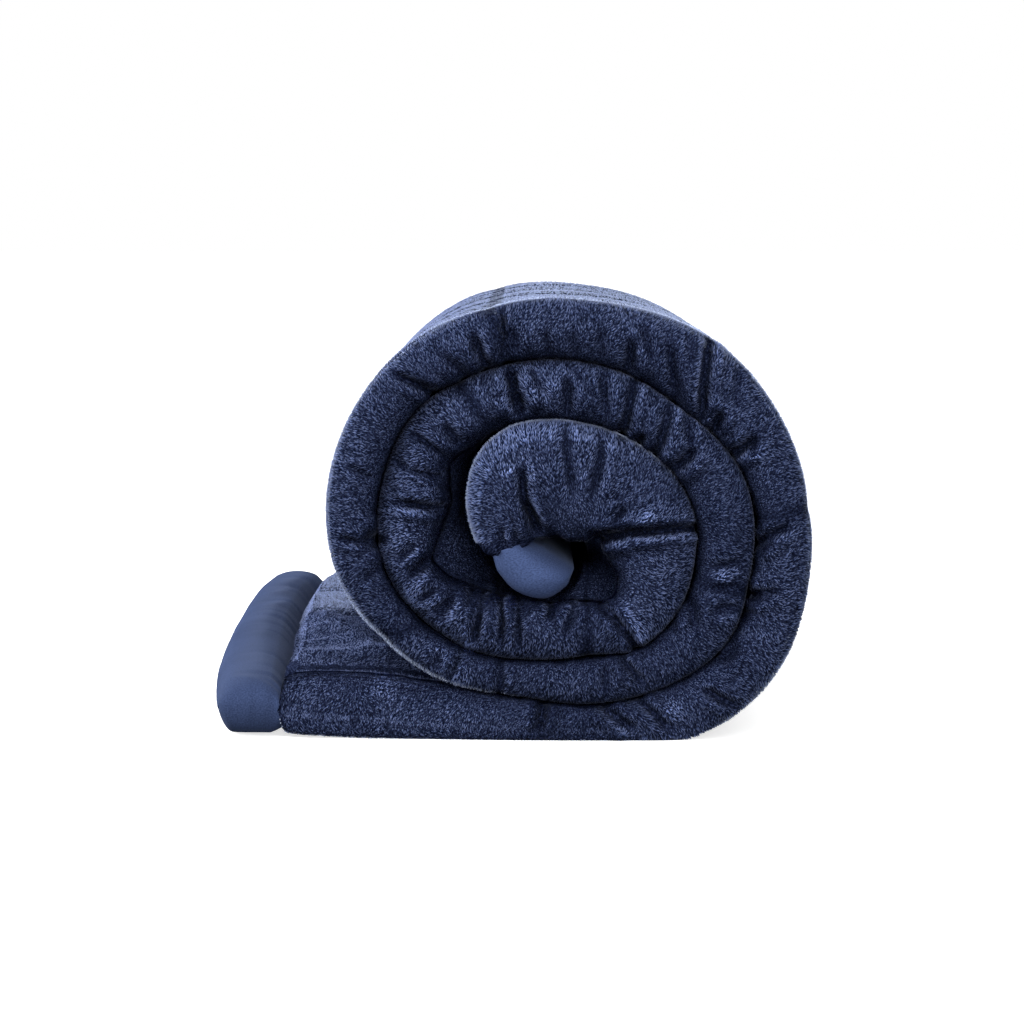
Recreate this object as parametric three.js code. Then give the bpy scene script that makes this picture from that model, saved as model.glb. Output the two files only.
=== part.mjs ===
// A filled plush blanket with a smooth binding on each end. It is folded in half along its length,
// rolled up from one end and lies on its side with the other end left out flat.
// Millimetres: x to the right, y along the roll away from the fold, z up from the surface it rests on.
import * as THREE from 'three';

// Blanket
const BLANKET_WIDTH = 2286;
const FOLDED_WIDTH = BLANKET_WIDTH / 2;
const PLY = 46;
const TURN_GAP = 2;
const FOLD_GAP = 2;
const SEAM_GAP = 0.3;

// Roll, angles in degrees unwound from the left side of the core
const CORE_HEIGHT = 135.3;
const LEFT_SIDE = 180;
const FULL_TURN = 360;
const INNER_SEAM = 5;
const FREE_TO = 405;
const REST_FROM = 974;
const UNDER_CORE = 990;
const TAIL_FROM = 1035;
const TAIL_STEP = 5;
const STATION_STEP = 12;
const STATION_LEAST = 4;

// Outer face of the layer, a row for each section: its radius from the core
const WINDING = [
  { turn: -46, outside: 33.8 },
  { turn: -38, outside: 44.6 },
  { turn: -28, outside: 54.6 },
  { turn: -18, outside: 63.8 },
  { turn: -7, outside: 71.5 },
  { turn: 5, outside: 81.5 },
  { turn: 15, outside: 93 },
  { turn: 30, outside: 108.4 },
  { turn: 45, outside: 119.5 },
  { turn: 60, outside: 120.7 },
  { turn: 75, outside: 113.8 },
  { turn: 90, outside: 106.1 },
  { turn: 120, outside: 96.1 },
  { turn: 150, outside: 89.2 },
  { turn: 180, outside: 79.9 },
  { turn: 210, outside: 76.6 },
  { turn: 240, outside: 74.6 },
  { turn: 270, outside: 71.5 },
  { turn: 300, outside: 86.1 },
  { turn: 330, outside: 121.5 },
  { turn: 360, outside: 159.1 },
  { turn: 390, outside: 175 },
  { turn: 405, outside: 177 },
  { turn: 420, outside: 169.1 },
  { turn: 450, outside: 153.7 },
  { turn: 480, outside: 137.6 },
  { turn: 510, outside: 135.3 },
  { turn: 540, outside: 125.3 },
  { turn: 570, outside: 121.5 },
  { turn: 600, outside: 110.4 },
  { turn: 630, outside: 107.6 },
  { turn: 660, outside: 116.8 },
  { turn: 690, outside: 157.6 },
  { turn: 720, outside: 203 },
  { turn: 750, outside: 219.5 },
  { turn: 780, outside: 218 },
  { turn: 810, outside: 203 },
  { turn: 840, outside: 197 },
  { turn: 870, outside: 182.5 },
  { turn: 900, outside: 170.5 },
  { turn: 930, outside: 166.5 },
  { turn: 960, outside: 153.5 },
  { turn: 974, outside: 140.8 },
];

// Inner face of the innermost turn: its radius, and the degrees by which it trails the outer face
const CORE = [
  { turn: -46, inside: 14.6, lean: 10 },
  { turn: -38, inside: 13.1, lean: 18 },
  { turn: -28, inside: 16.9, lean: 28 },
  { turn: -18, inside: 23.8, lean: 30 },
  { turn: -7, inside: 33.8, lean: 27 },
  { turn: 5, inside: 45.4, lean: 21 },
  { turn: 15, inside: 38.4, lean: 16 },
  { turn: 30, inside: 32.3, lean: 8 },
  { turn: 45, inside: 23, lean: 3 },
  { turn: 75, inside: 16.8, lean: 0 },
  { turn: 90, inside: 17, lean: 0 },
  { turn: 112, inside: 20, lean: 0 },
  { turn: 128, inside: 16, lean: 0 },
  { turn: 155, inside: 14.5, lean: 0 },
  { turn: 180, inside: 15.4, lean: 0 },
  { turn: 203, inside: 21.7, lean: 0 },
  { turn: 222, inside: 26.6, lean: 0 },
  { turn: 237, inside: 32, lean: 0 },
  { turn: 255, inside: 30, lean: 0 },
  { turn: 270, inside: 28.4, lean: 0 },
  { turn: 300, inside: 32.3, lean: 0 },
  { turn: 315, inside: 42.3, lean: 0 },
  { turn: 330, inside: 57, lean: 0 },
  { turn: 345, inside: 79, lean: 0 },
  { turn: 360, inside: 109, lean: 0 },
  { turn: 375, inside: 115.3, lean: 0 },
  { turn: 390, inside: 117, lean: 0 },
  { turn: 405, inside: 121.5, lean: 0 },
];

// End left out flat, to the left of the core: where each section meets the surface and the air,
// and its share of the spread below
const TAIL = [
  { row: 0, under: -135.3, over: -96.5, top: 38.8, base: 0, lift: 0 },
  { row: 1, under: -165, over: -131, top: 44.5, base: 0, lift: 0.15 },
  { row: 2, under: -196, over: -172, top: 48, base: 0, lift: 0.5 },
  { row: 3, under: -219, over: -208, top: 48.5, base: 0, lift: 0.85 },
  { row: 4, under: -230, over: -226, top: 46.5, base: 0.8, lift: 1 },
  { row: 5, under: -236, over: -236, top: 41, base: 3.5, lift: 1 },
];
const OUTER_SEAM = TAIL_FROM + TAIL_STEP * TAIL[TAIL.length - 1].row;

// Outer binding, from its seam to the free edge
const OUTER_BINDING = [
  { row: 0, under: -236, over: -236, top: 39.5, base: 3.5, lift: 1, reach: 0 },
  { row: 1, under: -245, over: -245, top: 44.5, base: 0.6, lift: 1, reach: 0.16 },
  { row: 2, under: -254, over: -254, top: 46.5, base: 0, lift: 1, reach: 0.35 },
  { row: 3, under: -266, over: -266, top: 46, base: 0, lift: 1, reach: 0.6 },
  { row: 4, under: -276, over: -276, top: 43, base: 0.6, lift: 1, reach: 0.8 },
  { row: 5, under: -283, over: -283, top: 37.5, base: 5, lift: 1, reach: 0.94 },
  { row: 6, under: -286.7, over: -286.7, top: 30, base: 13, lift: 1, reach: 1 },
];

// Spread of the flat end away from the fold: how much wider its binding and how much thicker it lies
const SPREAD = [
  { y: 0, reach: 0, lift: 0 },
  { y: 170, reach: 11, lift: 0.05 },
  { y: 400, reach: 21, lift: 0.1 },
  { y: 680, reach: 27, lift: 0.15 },
  { y: 1000, reach: 30, lift: 0.18 },
  { y: 1161, reach: 30, lift: 0.19 },
];

// How far the fold stands back from the foremost point of the roll
const FRONT = [
  { turn: -46, back: 16 },
  { turn: 5, back: 8 },
  { turn: 60, back: 0 },
  { turn: 240, back: 2 },
  { turn: 360, back: 8 },
  { turn: 480, back: 3 },
  { turn: 720, back: 3 },
  { turn: 960, back: 2 },
  { turn: 1035, back: 6 },
  { turn: 1060, back: 18 },
];

// Fold at the front and hem at the far side
const NOSE_SHARE = 0.42;
const NOSE_LIMIT = 26;
const NOSE_POWER = 2.2;
const NOSE_STEPS = 6;
const FOLD_DEPTH = 70;
const HEM_ROUND = 12;
const HEM = [
  { across: 0.2, short: 0.22 },
  { across: 0.5, short: 0 },
  { across: 0.8, short: 0.22 },
];

// Quilting: sewn lines along the blanket and across it, with filled boxes between
const FIRST_BOX = 268;
const BOX = 292.5;
const CORE_FADE = 60;
const FIRST_CHANNEL = 50;
const CHANNEL = 286;
const CHANNEL_DEPTH = 9;
const CROSS_DEPTH = 6;
const QUILT_SOFT = 22;
const CROWN_AT = [0.25, 0.75];
const BOW = 1.5;

// Creases pressed into the folded front by the rolling, deepest at the inner face
const CREASES = [
  { turn: 47, deep: 14, wide: 8, reach: 0.8 },
  { turn: 95, deep: 6, wide: 9, reach: 0.7 },
  { turn: 155, deep: 13, wide: 9, reach: 1.1 },
  { turn: 239, deep: 10, wide: 8, reach: 0.9 },
  { turn: 312, deep: 7, wide: 7, reach: 0.7 },
  { turn: 330, deep: 8, wide: 8, reach: 0.8 },
  { turn: 354, deep: 8, wide: 8, reach: 0.7 },
  { turn: 380, deep: 7, wide: 9, reach: 0.8 },
  { turn: 397, deep: 8, wide: 9, reach: 0.5 },
  { turn: 427, deep: 12, wide: 8, reach: 1.1 },
  { turn: 445, deep: 7, wide: 8, reach: 0.8 },
  { turn: 466, deep: 7, wide: 8, reach: 0.7 },
  { turn: 488, deep: 7, wide: 8, reach: 0.7 },
  { turn: 547, deep: 7, wide: 9, reach: 0.9 },
  { turn: 610, deep: 8, wide: 8, reach: 0.7 },
  { turn: 668, deep: 6, wide: 8, reach: 0.8 },
  { turn: 692, deep: 9, wide: 9, reach: 0.9 },
  { turn: 728, deep: 7, wide: 10, reach: 0.4 },
  { turn: 752, deep: 7, wide: 10, reach: 0.5 },
  { turn: 784, deep: 7, wide: 9, reach: 0.8 },
  { turn: 822, deep: 7, wide: 9, reach: 0.6 },
  { turn: 843, deep: 8, wide: 9, reach: 0.8 },
  { turn: 864, deep: 10, wide: 9, reach: 0.6 },
  { turn: 893, deep: 7, wide: 9, reach: 0.6 },
  { turn: 911, deep: 8, wide: 9, reach: 0.7 },
  { turn: 944, deep: 9, wide: 9, reach: 0.9 },
  { turn: 983, deep: 7, wide: 9, reach: 0.8 },
];
const CREASE_FADE = 45;
const CREASE_SINK = 0.5;
const CREASE_EDGE = 0.45;
const CREASE_SHOULDER = 1.4;

// Colours and finish
const PLUSH = { color: 0x2c3450, roughness: 0.95, metalness: 0 };
const BINDING = { color: 0x56648a, roughness: 0.55, metalness: 0 };

// Smooth curve through one column of a table
function columnAt(rows, key, column, at) {
  const last = rows.length - 1;
  const here = Math.min(Math.max(at, rows[0][key]), rows[last][key]);
  let i = 0;
  while (i < last - 1 && rows[i + 1][key] < here) {
    i += 1;
  }
  const slope = (k) => {
    const a = rows[Math.max(k - 1, 0)];
    const b = rows[Math.min(k + 1, last)];
    return (b[column] - a[column]) / (b[key] - a[key]);
  };
  const from = rows[i];
  const to = rows[i + 1];
  const span = to[key] - from[key];
  const t = (here - from[key]) / span;
  const bend = t * t * (3 - 2 * t);
  const rise = to[column] - from[column];
  const leave = slope(i) * span * t * (1 - t) * (1 - t);
  const arrive = slope(i + 1) * span * t * t * (1 - t);
  return from[column] + rise * bend + leave - arrive;
}

function outsideAt(turn) {
  if (turn >= REST_FROM) {
    return CORE_HEIGHT / Math.cos(THREE.MathUtils.degToRad(turn - UNDER_CORE));
  }
  return columnAt(WINDING, 'turn', 'outside', turn);
}

function insideAt(turn) {
  if (turn > FREE_TO) {
    return outsideAt(turn - FULL_TURN) + TURN_GAP;
  }
  return columnAt(CORE, 'turn', 'inside', turn);
}

function aroundCore(degrees, radius) {
  const angle = THREE.MathUtils.degToRad(degrees);
  return new THREE.Vector2(radius * Math.cos(angle), CORE_HEIGHT + radius * Math.sin(angle));
}

// One section of a flat end: its outer face is on the surface and its inner face on top
function flatRib(rows, row) {
  const at = (column) => columnAt(rows, 'row', column, row);
  return {
    outer: new THREE.Vector2(at('under'), Math.max(at('base'), 0)),
    inner: new THREE.Vector2(at('over'), at('top')),
    lift: at('lift'),
    reach: rows[0].reach === undefined ? 0 : at('reach'),
  };
}

// One section of the layer, from its inner face to its outer face
function ribAt(turn) {
  if (turn > TAIL_FROM) {
    return flatRib(TAIL, (turn - TAIL_FROM) / TAIL_STEP);
  }
  const lean = columnAt(CORE, 'turn', 'lean', turn);
  return {
    outer: aroundCore(LEFT_SIDE - turn, outsideAt(turn)),
    inner: aroundCore(LEFT_SIDE - turn - lean, insideAt(turn)),
    lift: 0,
    reach: 0,
  };
}

function backAt(turn) {
  return Math.max(columnAt(FRONT, 'turn', 'back', turn), 0);
}

function middleOf(rib) {
  return rib.inner.clone().lerp(rib.outer, 0.5);
}

// Length along the middle of the layer from the inner seam to each whole degree unwound
const LENGTHS = [0];
for (let turn = INNER_SEAM; turn < OUTER_SEAM; turn += 1) {
  const step = middleOf(ribAt(turn)).distanceTo(middleOf(ribAt(turn + 1)));
  LENGTHS.push(LENGTHS[LENGTHS.length - 1] + step);
}
const STRIP_LENGTH = LENGTHS[LENGTHS.length - 1];

function lengthAt(turn) {
  const at = Math.min(Math.max(turn - INNER_SEAM, 0), LENGTHS.length - 1);
  const low = Math.floor(at);
  const high = Math.min(low + 1, LENGTHS.length - 1);
  return LENGTHS[low] + (LENGTHS[high] - LENGTHS[low]) * (at - low);
}

function turnAt(length) {
  const index = LENGTHS.findIndex((value) => value >= length);
  return INNER_SEAM + Math.max(index, 0);
}

// Sewn lines across the blanket, by length from the inner seam
const CROSS_LINES = [];
for (let length = FIRST_BOX; length < STRIP_LENGTH; length += BOX) {
  CROSS_LINES.push(length);
}

// Sewn lines along the blanket, by distance from the fold
const CHANNEL_LINES = [];
for (let y = FIRST_CHANNEL; y < FOLDED_WIDTH - HEM_ROUND; y += CHANNEL) {
  CHANNEL_LINES.push(y);
}

function nearest(lines, at) {
  return Math.min(...lines.map((line) => Math.abs(line - at)));
}

function groove(distance) {
  return Math.exp(-distance / QUILT_SOFT);
}

// Places round one section: share of the thickness from the inner face, and distance from the fold
function sectionSpots(quilted) {
  const spots = [];
  for (let k = 0; k <= NOSE_STEPS; k += 1) {
    const angle = Math.PI * (k / NOSE_STEPS - 0.5);
    const power = 2 / NOSE_POWER;
    const across = 0.5 + 0.5 * Math.sign(angle) * Math.pow(Math.abs(Math.sin(angle)), power);
    spots.push({ zone: 'nose', across, depth: 1 - Math.pow(Math.abs(Math.cos(angle)), power) });
  }
  const along = [];
  CHANNEL_LINES.forEach((line) => {
    along.push(line);
    CROWN_AT.forEach((share) => along.push(line + share * CHANNEL));
  });
  const hemStart = FOLDED_WIDTH - HEM_ROUND;
  const faceRows = (quilted ? along : CHANNEL_LINES).filter((y) => y < hemStart - HEM_ROUND);
  faceRows.push(hemStart);
  faceRows.forEach((y) => spots.push({ zone: 'face', across: 1, y }));
  HEM.slice().reverse().forEach((part) => {
    spots.push({ zone: 'hem', across: 0.5 + part.across / 2, y: FOLDED_WIDTH - part.short * HEM_ROUND });
  });
  spots.push({ zone: 'slit', side: 1, y: hemStart });
  spots.push({ zone: 'slit', side: 1, y: FOLD_DEPTH });
  spots.push({ zone: 'slit', side: -1, y: FOLD_DEPTH });
  spots.push({ zone: 'slit', side: -1, y: hemStart });
  HEM.slice().reverse().forEach((part) => {
    spots.push({ zone: 'hem', across: part.across / 2, y: FOLDED_WIDTH - part.short * HEM_ROUND });
  });
  faceRows.slice().reverse().forEach((y) => spots.push({ zone: 'face', across: 0, y }));
  return spots;
}

function creaseAt(length, across) {
  let deep = 0;
  CREASES.forEach((crease) => {
    const off = (length - lengthAt(crease.turn)) / crease.wide;
    const fade = THREE.MathUtils.smoothstep(crease.reach - across, 0, CREASE_EDGE);
    deep = Math.max(deep, crease.deep * Math.exp(-off * off) * fade);
  });
  return deep;
}

// Closed outline of one section, as points in space
function sectionPoints(rib, spots, back, length, quilted, resting) {
  const thick = rib.inner.distanceTo(rib.outer);
  const full = thick / PLY;
  const nose = Math.min(NOSE_SHARE * thick, NOSE_LIMIT);
  const cross = quilted ? groove(nearest(CROSS_LINES, length)) : 0;
  const sink = (y) => {
    const bow = BOW * Math.pow(2 * y / FOLDED_WIDTH - 1, 2);
    const along = quilted ? groove(nearest(CHANNEL_LINES, y)) * Math.min(length / CORE_FADE, 1) : 0;
    return Math.min(full, 1) * (bow + Math.max(CHANNEL_DEPTH * along, CROSS_DEPTH * cross)) / thick;
  };
  return spots.map((spot) => {
    if (spot.zone === 'slit') {
      const across = 0.5 + spot.side * FOLD_GAP / (2 * thick);
      return { across, y: spot.y + back, rib };
    }
    const onNose = spot.zone === 'nose';
    const y = onNose ? nose * spot.depth : spot.y;
    const drop = spot.zone === 'hem' ? 0 : sink(Math.max(y, nose));
    const low = drop;
    const high = resting ? 1 : 1 - drop;
    const across = low + (high - low) * spot.across;
    const dent = quilted ? creaseAt(length, spot.across) : 0;
    const fade = Math.exp(-Math.max(y - nose, 0) / CREASE_FADE);
    const pushed = onNose ? dent + cross * CROSS_DEPTH / 2 : 0;
    const sunk = CREASE_SINK * dent * fade * (1 - spot.across) / thick;
    return { across: across + sunk, y: y + back + pushed, rib };
  });
}

function inSpace(spot) {
  const flat = spot.rib.inner.clone().lerp(spot.rib.outer, spot.across);
  const reach = spot.rib.reach * columnAt(SPREAD, 'y', 'reach', spot.y);
  const lift = spot.rib.lift * columnAt(SPREAD, 'y', 'lift', spot.y);
  return new THREE.Vector3(flat.x - reach, spot.y, flat.y * (1 + lift));
}

// Triangles filling one end of a loft, wound like its outline
function capFaces(outline) {
  const flat = outline.map((spot) => {
    const thick = spot.rib.inner.distanceTo(spot.rib.outer);
    return new THREE.Vector2(spot.across * thick, spot.y);
  });
  const faces = THREE.ShapeUtils.triangulateShape(flat, []);
  const covered = faces.reduce((sum, face) => sum + THREE.ShapeUtils.area(face.map((i) => flat[i])), 0);
  const alike = covered * THREE.ShapeUtils.area(flat) > 0;
  return faces.map(([a, b, c]) => (alike ? [a, b, c] : [a, c, b]));
}

// Closed skin over a row of outlines
function loft(outlines) {
  const count = outlines[0].length;
  const points = outlines.flat().map(inSpace);
  const faces = [];
  for (let k = 0; k + 1 < outlines.length; k += 1) {
    for (let i = 0; i < count; i += 1) {
      const a = k * count + i;
      const b = k * count + (i + 1) % count;
      faces.push([a, b, a + count], [b, b + count, a + count]);
    }
  }
  const lastRow = (outlines.length - 1) * count;
  capFaces(outlines[0]).forEach(([a, b, c]) => faces.push([a, c, b]));
  capFaces(outlines[outlines.length - 1]).forEach(([a, b, c]) => {
    faces.push([a + lastRow, b + lastRow, c + lastRow]);
  });
  let volume = 0;
  faces.forEach(([a, b, c]) => {
    volume += points[a].dot(points[b].clone().cross(points[c])) / 6;
  });
  const outward = volume > 0 ? faces : faces.map(([a, b, c]) => [a, c, b]);
  const geometry = new THREE.BufferGeometry();
  geometry.setAttribute('position', new THREE.Float32BufferAttribute(points.flatMap((p) => p.toArray()), 3));
  geometry.setIndex(outward.flat());
  geometry.computeVertexNormals();
  return geometry;
}

// Turns at which the body has a section: on every crease and sewn line, and evenly between them
function stations() {
  const marks = [INNER_SEAM, REST_FROM];
  CREASES.forEach((crease) => {
    const middle = lengthAt(crease.turn);
    [-1, 0, 1].forEach((side) => marks.push(turnAt(middle + side * crease.wide * CREASE_SHOULDER)));
  });
  CROSS_LINES.forEach((line) => {
    [-1, 0, 1].forEach((side) => marks.push(turnAt(line + side * QUILT_SOFT / 2)));
  });
  TAIL.forEach(({ row }) => marks.push(TAIL_FROM + row * TAIL_STEP));
  marks.sort((a, b) => a - b);
  const kept = [INNER_SEAM];
  marks.forEach((turn) => {
    const last = kept[kept.length - 1];
    if (turn - last < STATION_LEAST) {
      return;
    }
    const parts = Math.ceil((turn - last) / STATION_STEP);
    for (let k = 1; k <= parts; k += 1) {
      kept.push(last + (turn - last) * k / parts);
    }
  });
  return kept;
}

function plushBody() {
  const spots = sectionSpots(true);
  return loft(stations().map((turn) => {
    const back = backAt(turn);
    return sectionPoints(ribAt(turn), spots, back, lengthAt(turn), true, turn >= REST_FROM);
  }));
}

function shifted(rib, x, z) {
  const move = new THREE.Vector2(x, z);
  return { ...rib, outer: rib.outer.clone().add(move), inner: rib.inner.clone().add(move) };
}

function outerBinding() {
  const spots = sectionSpots(false);
  const back = backAt(OUTER_SEAM);
  return loft(OUTER_BINDING.map(({ row }) => {
    const rib = shifted(flatRib(OUTER_BINDING, row), -SEAM_GAP, 0);
    return sectionPoints(rib, spots, back, STRIP_LENGTH, false, true);
  }));
}

// The inner binding runs from the seam back to the first row of the winding
function innerBinding() {
  const spots = sectionSpots(false);
  const seam = ribAt(INNER_SEAM);
  const across = seam.outer.clone().sub(seam.inner).normalize();
  const rows = CORE.filter((row) => row.turn <= INNER_SEAM).reverse();
  return loft(rows.map(({ turn }) => {
    const back = backAt(turn);
    const rib = shifted(ribAt(turn), -across.y * SEAM_GAP, across.x * SEAM_GAP);
    return sectionPoints(rib, spots, back, 0, false, false);
  }));
}

const blanket = new THREE.Group();
blanket.name = 'rolled_blanket';
[
  ['plush_body', plushBody(), PLUSH],
  ['outer_binding', outerBinding(), BINDING],
  ['inner_binding', innerBinding(), BINDING],
].forEach(([name, geometry, finish]) => {
  const mesh = new THREE.Mesh(geometry, new THREE.MeshStandardMaterial(finish));
  mesh.name = name;
  blanket.add(mesh);
});

// The origin is under the middle of the whole, on the surface
const box = new THREE.Box3().setFromObject(blanket);
const centre = box.getCenter(new THREE.Vector3());
blanket.children.forEach((mesh) => mesh.geometry.translate(-centre.x, -centre.y, -box.min.z));

export default blanket;
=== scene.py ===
"""A filled plush blanket, folded in half along its length and rolled up, dressed over its solids."""
import math
from collections import namedtuple

import bpy
import numpy as np
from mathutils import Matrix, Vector


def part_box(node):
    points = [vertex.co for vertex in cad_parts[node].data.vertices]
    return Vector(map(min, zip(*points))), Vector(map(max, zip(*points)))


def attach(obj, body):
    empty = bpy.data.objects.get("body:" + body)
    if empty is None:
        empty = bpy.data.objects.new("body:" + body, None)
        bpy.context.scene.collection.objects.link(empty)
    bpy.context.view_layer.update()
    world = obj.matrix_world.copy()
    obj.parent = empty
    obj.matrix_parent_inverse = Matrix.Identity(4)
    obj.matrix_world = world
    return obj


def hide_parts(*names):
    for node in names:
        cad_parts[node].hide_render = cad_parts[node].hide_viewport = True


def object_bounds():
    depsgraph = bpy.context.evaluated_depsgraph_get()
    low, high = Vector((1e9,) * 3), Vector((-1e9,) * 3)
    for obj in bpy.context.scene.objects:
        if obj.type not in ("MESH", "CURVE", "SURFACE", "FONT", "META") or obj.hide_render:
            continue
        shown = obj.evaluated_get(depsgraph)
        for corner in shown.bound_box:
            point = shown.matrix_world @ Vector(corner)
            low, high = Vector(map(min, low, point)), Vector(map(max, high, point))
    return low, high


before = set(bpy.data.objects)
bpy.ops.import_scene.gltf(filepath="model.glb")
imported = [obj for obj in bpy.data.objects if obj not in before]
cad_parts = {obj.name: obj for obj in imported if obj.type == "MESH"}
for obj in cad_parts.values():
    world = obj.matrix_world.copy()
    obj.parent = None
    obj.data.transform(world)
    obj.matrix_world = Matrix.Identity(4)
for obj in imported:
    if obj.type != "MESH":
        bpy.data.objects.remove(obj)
CAD_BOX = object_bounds()

# Sizes in millimetres, turned to metres when a mesh is made
MM = 0.001
TINY = 1e-9

# Blanket
FOLDED_WIDTH = 1143
PLY = 46
TURN_GAP = 2
FOLD_GAP = 2
SEAM_GAP = 0.3

# Roll, with turns in degrees clockwise from the left side of the core
CORE_HEIGHT = 135.3
LEFT_SIDE = 180
FULL_TURN = 360
INNER_SEAM = 5
SEAM_LAP = 5
FREE_TO = 405
REST_FROM = 974
UNDER_CORE = 990
TAIL_FROM = 1035
TAIL_STEP = 5
TURN_STEP = 0.25


def table(names, rows):
    """A table with named columns."""
    return np.array(rows, dtype=[(name, float) for name in names.split()])


# Outer face of the layer, a row for each section: its radius from the core
WINDING = table("turn outside", [
    (-46, 33.8), (-38, 44.6), (-28, 54.6), (-18, 63.8), (-7, 71.5), (5, 81.5), (15, 93), (30, 108.4),
    (45, 119.5), (60, 120.7), (75, 113.8), (90, 106.1), (120, 96.1), (150, 89.2), (180, 79.9),
    (210, 76.6), (240, 74.6), (270, 71.5), (300, 86.1), (330, 121.5), (360, 159.1), (390, 175),
    (405, 177), (420, 169.1), (450, 153.7), (480, 137.6), (510, 135.3), (540, 125.3), (570, 121.5),
    (600, 110.4), (630, 107.6), (660, 116.8), (690, 156), (720, 198), (750, 217), (780, 217.5),
    (810, 203), (840, 197), (870, 182.5), (900, 170.5), (930, 167.5), (960, 153.7), (974, 140.8),
])

# Inner face of the innermost turn: its radius, and the degrees by which it trails the outer face
CORE = table("turn inside lean", [
    (-46, 14.6, 10), (-38, 13.1, 18), (-28, 16.9, 28), (-18, 23.8, 30), (-7, 33.8, 27), (5, 45.4, 21),
    (15, 38.4, 16), (30, 32.3, 8), (45, 23, 3), (75, 16.8, 0), (90, 17, 0), (112, 20, 0), (128, 16, 0),
    (155, 14.5, 0), (180, 15.4, 0), (203, 21.7, 0), (222, 26.6, 0), (237, 32, 0), (255, 30, 0),
    (270, 28.4, 0), (300, 32.3, 0), (315, 42.3, 0), (330, 57, 0), (345, 82, 0), (355, 111, 0),
    (361, 120, 0), (367, 117, 0), (376, 112, 0), (383, 111, 0), (389, 119, 0), (395, 129, 0),
    (405, 121.5, 0),
])

# End left out flat, to the left of the core: where each section meets the surface and the air, and its
# share of the spread below; the last rows round it off over the seam
TAIL = table("row under over top base lift", [
    (0, -135.3, -96.5, 38.8, 0, 0), (1, -165, -131, 44.5, 0, 0.15), (2, -196, -172, 48, 0, 0.5),
    (3, -219, -208, 48.5, 0, 0.85), (4, -230, -226, 47.5, 0.5, 1), (5, -236, -236, 44, 2, 1),
    (5.5, -239, -239, 39, 6, 1), (6, -240.5, -240.5, 31, 13, 1),
])
OUTER_SEAM = 1060
TAIL_END = TAIL_FROM + TAIL_STEP * TAIL["row"][-1]

# Outer binding, from its seam under the plush to the free edge
OUTER_BINDING = table("row under over top base lift reach", [
    (0, -236, -236, 33, 2, 1, 0), (1, -243, -243, 41.5, 0, 1, 0.12), (2, -254, -254, 46.5, 0, 1, 0.35),
    (3, -266, -266, 46.5, 0, 1, 0.6), (4, -277, -277, 43, 0.8, 1, 0.8), (5, -284, -284, 36.5, 6, 1, 0.94),
    (6, -286.7, -286.7, 27, 14, 1, 1),
])

# Spread of the flat end away from the fold: how far its seam and edge run out, and how much thicker it is
SPREAD = table("y seam reach lift", [
    (0, 0, 0, 0), (170, 2, 11, 0.05), (400, 7, 21, 0.1), (680, 13, 25, 0.15), (1000, 15, 26, 0.18),
    (1161, 3, 20, 0.19),
])
CURL = 4
CURL_FADE = 70

# How far the fold stands back from the front of the roll, and the painted light or shade of its pile there
FRONT = table("turn back light", [
    (-46, 8, 1), (5, 4, 1), (60, 0, 1), (150, 0, 1.05), (240, 3, 1.15), (300, 6, 1.16), (360, 14, 1.25),
    (410, 12, 1.16), (480, 4, 1), (560, 3, 0.92), (720, 3, 0.95), (800, 3, 0.95), (920, 3, 1.05),
    (960, -5, 1), (1010, -6, 0.83), (1035, 3, 1.04), (1060, 16, 1.08),
])

# Fold at the front, looser at the core and blunter under the roll, and hem at the far side
BODY_NOSE = dict(share=0.52, limit=30, power=2.05, top=1)
BINDING_NOSE = dict(share=0.5, limit=24, power=2, top=3)
BLUNT = 0.75
BLUNT_FROM = 930
LOOSE_EDGE = 0.8
LOOSE_TURNS = (320, 345, 405, 425)
FOLD_DEPTH = 70
HEM_ROUND = 12
HEM_START = FOLDED_WIDTH - HEM_ROUND
HEM_MIDDLES = (0.25, 0.75)
HEM_SWING = 0.25

# Quilting: sewn lines along the blanket and across it, with filled boxes between
FIRST_BOX = 268
BOX = 292.5
CORE_FADE = 60
CHANNELS = table("y deep soft", [(56, 6, 7), (342, 5, 26), (640, 7, 22), (906, 6, 24)])
CROSS_DEPTH = 2
CROSS_SOFT = 18
PINCH_DEPTH = 1
STITCH = 2.5
# Painted shade of the pile in the sewn lines: how dark, and how wide across the lines and along them
SEWN_PAINTED_SHADE = 0.8
SEWN_SOFT = 2.5
CHANNEL_SOFT = 5
PRESSED_DEPTH = 1.5
PRESSED_OUT = 0.8

# Where the faces lie free, not pressed on the next turn: the turns that each side runs between
OUTER_FREE = (650, 690)
INNER_FREE = (400, 425, 1008, 1030)

# Where the filling closes the core: distances behind the fold, the radius left, and its turns
DEEP_FROM = 40
DEEP_TO = 110
CORE_CLOSED = 3
CORE_TURNS = (60, 85, 290, 314)

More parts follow.
